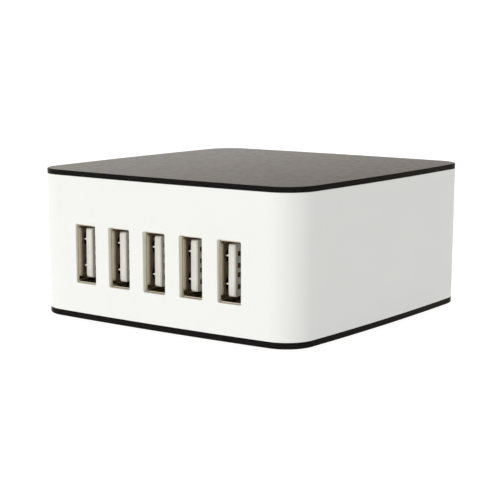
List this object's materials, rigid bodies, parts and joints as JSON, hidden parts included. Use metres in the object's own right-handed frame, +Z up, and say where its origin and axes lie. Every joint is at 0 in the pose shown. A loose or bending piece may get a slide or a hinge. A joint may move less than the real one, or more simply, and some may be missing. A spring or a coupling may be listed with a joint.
{
  "type": "multi port usb desktop charger",
  "caption": "Square desktop charger with a white sleeve between a black lid and base, a row of upright USB sockets in front and a mains inlet behind.",
  "frame": {"origin": "under the middle of the case, on the surface that the feet stand on", "axes": "+Z up, -Y out of the USB ports, +Y out of the mains inlet, +X to the right as seen from the ports"},
  "size_m": [0.0734, 0.0734, 0.0342],
  "materials": {
    "white_case": "fine satin moulding",
    "dark_cover": "satin black moulding",
    "foot_rubber": "matt",
    "screw_steel": "zinc plated",
    "socket_steel": "tin plated sheet",
    "socket_insulator": "white moulding",
    "contact_metal": "thin gold plating",
    "inlet_plastic": "black moulding",
    "inlet_pin": "nickel plated brass",
    "board": "solder mask",
    "can_sleeve": "printed film sleeve, left bare",
    "yellow_box": "moulded box",
    "blue_dip": "dipped coating",
    "fuse_body": "moulded body",
    "ferrite": "ground ferrite",
    "copper_wire": "enamelled copper",
    "bobbin": "moulded bobbin",
    "winding_tape": "polyester tape",
    "heatsink": "mill finish",
    "device": "moulded package"
  },
  "bodies": {
    "root": {"housing_sleeve": "white_case", "top_cover": "dark_cover", "base_plate": "dark_cover", "rubber_foot_1": "foot_rubber", "rubber_foot_2": "foot_rubber", "rubber_foot_3": "foot_rubber", "rubber_foot_4": "foot_rubber", "case_screws": "screw_steel", "board_screws": "screw_steel", "main_board": "board", "usb_shell_1": "socket_steel", "usb_insulator_1": "socket_insulator", "usb_contacts_1": "contact_metal", "usb_shell_2": "socket_steel", "usb_insulator_2": "socket_insulator", "usb_contacts_2": "contact_metal", "usb_shell_3": "socket_steel", "usb_insulator_3": "socket_insulator", "usb_contacts_3": "contact_metal", "usb_shell_4": "socket_steel", "usb_insulator_4": "socket_insulator", "usb_contacts_4": "contact_metal", "usb_shell_5": "socket_steel", "usb_insulator_5": "socket_insulator", "usb_contacts_5": "contact_metal", "ac_inlet_body": "inlet_plastic", "ac_inlet_pins": "inlet_pin", "fuse": "fuse_body", "x_capacitor": "yellow_box", "choke_core": "ferrite", "choke_winding": "copper_wire", "bridge_rectifier": "device", "bulk_capacitor_1": "can_sleeve", "bulk_capacitor_2": "can_sleeve", "transformer_core": "ferrite", "transformer_bobbin": "bobbin", "transformer_winding": "winding_tape", "primary_heatsink": "heatsink", "secondary_heatsink": "heatsink", "switching_transistor": "device", "output_rectifier": "device", "y_capacitor": "blue_dip", "output_inductor": "ferrite", "optocoupler": "device", "control_chip": "device", "output_capacitor_1": "can_sleeve", "output_capacitor_2": "can_sleeve", "output_capacitor_3": "can_sleeve", "output_capacitor_4": "can_sleeve"}
  },
  "joints": []
}
